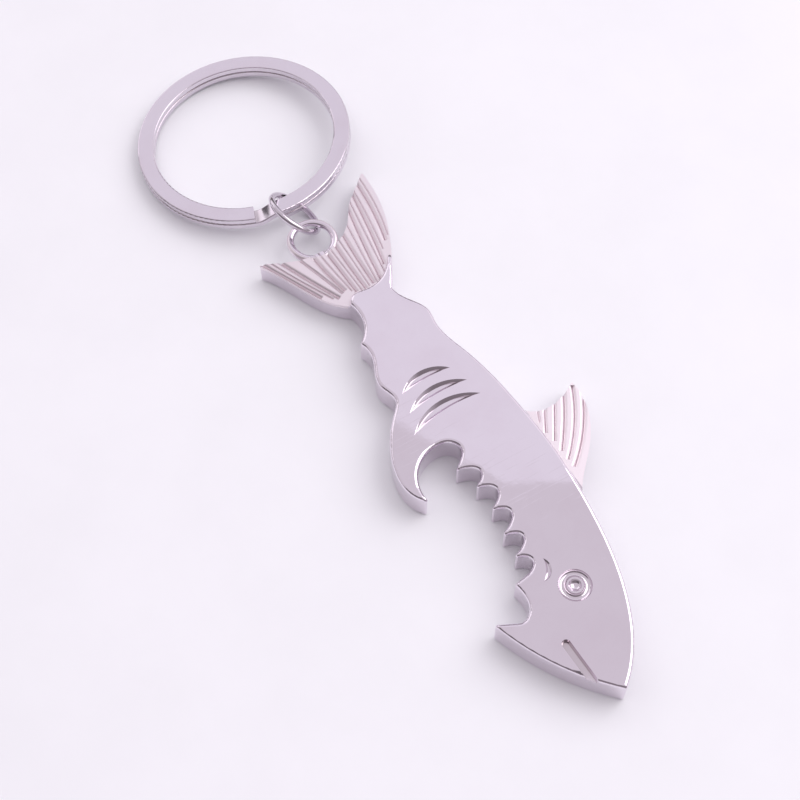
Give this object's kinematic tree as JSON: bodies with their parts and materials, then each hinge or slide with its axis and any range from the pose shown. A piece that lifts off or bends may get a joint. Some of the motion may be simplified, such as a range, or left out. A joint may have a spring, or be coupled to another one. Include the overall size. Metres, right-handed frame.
{
  "type": "bottle opener",
  "caption": "Shark-shaped plated bottle opener with a toothed jaw and hook, on a jump ring and a flat split key ring.",
  "frame": {"origin": "on the flat back, in the middle of the tail root", "axes": "+X from the tail to the nose, +Y to the dorsal fin, +Z out of the decorated face"},
  "size_m": [0.108, 0.0316, 0.0062],
  "materials": {
    "plated_casting": "polished",
    "plated_wire": "polished",
    "plated_strip": "polished"
  },
  "bodies": {
    "opener": {"opener_body": "plated_casting"},
    "link": {"jump_ring": "plated_wire"},
    "key_ring": {"split_ring": "plated_strip"}
  },
  "joints": [
    {"name": "link_swing", "type": "hinge", "parent": "opener", "child": "link", "pos_m": [-0.01627, -0.00202, 0.0026], "axis": [0, 1, 0], "range_deg": [0, 60]},
    {"name": "ring_swing", "type": "hinge", "parent": "link", "child": "key_ring", "pos_m": [-0.0198, -0.00194, 0.00293], "axis": [0.0256, 0.9983, 0.0524], "range_deg": [-30, 105]}
  ]
}
